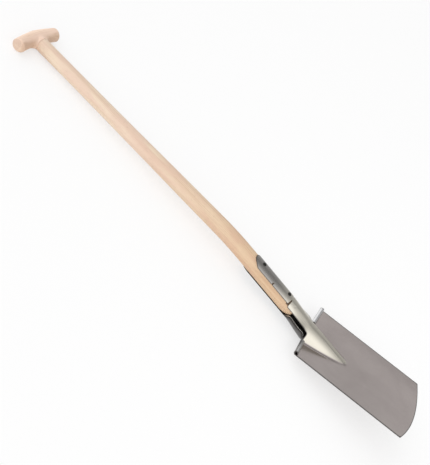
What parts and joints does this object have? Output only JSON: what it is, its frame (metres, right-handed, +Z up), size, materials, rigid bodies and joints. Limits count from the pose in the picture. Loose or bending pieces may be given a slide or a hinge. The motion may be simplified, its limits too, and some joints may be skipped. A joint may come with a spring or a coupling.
{
  "type": "spade",
  "caption": "Digging spade with a pressed stainless blade, rolled treads, a riveted strap socket and a wooden shaft with a T grip.",
  "frame": {"origin": "centre of the bounding box's bottom, on the floor that the tool lies on", "axes": "+X along the tool towards the cutting edge, +Y across the blade, +Z up out of the blade's front"},
  "size_m": [1.1814, 0.1788, 0.0849],
  "materials": {
    "blade_steel": "satin stainless steel, finely brushed",
    "strap_steel": "satin stainless steel, finely brushed",
    "ash_wood": "smooth pale ash, thin clear oil",
    "grip_wood": "smooth pale hardwood, thin clear oil",
    "wedge_wood": "plain darker hardwood",
    "dark_steel": "dark blued steel"
  },
  "bodies": {
    "root": {"blade": "blade_steel", "back_strap": "strap_steel", "shaft": "ash_wood", "t_grip": "grip_wood", "grip_wedge": "wedge_wood", "grip_pin": "dark_steel", "upper_rivet": "dark_steel", "lower_rivet": "dark_steel"}
  },
  "joints": []
}
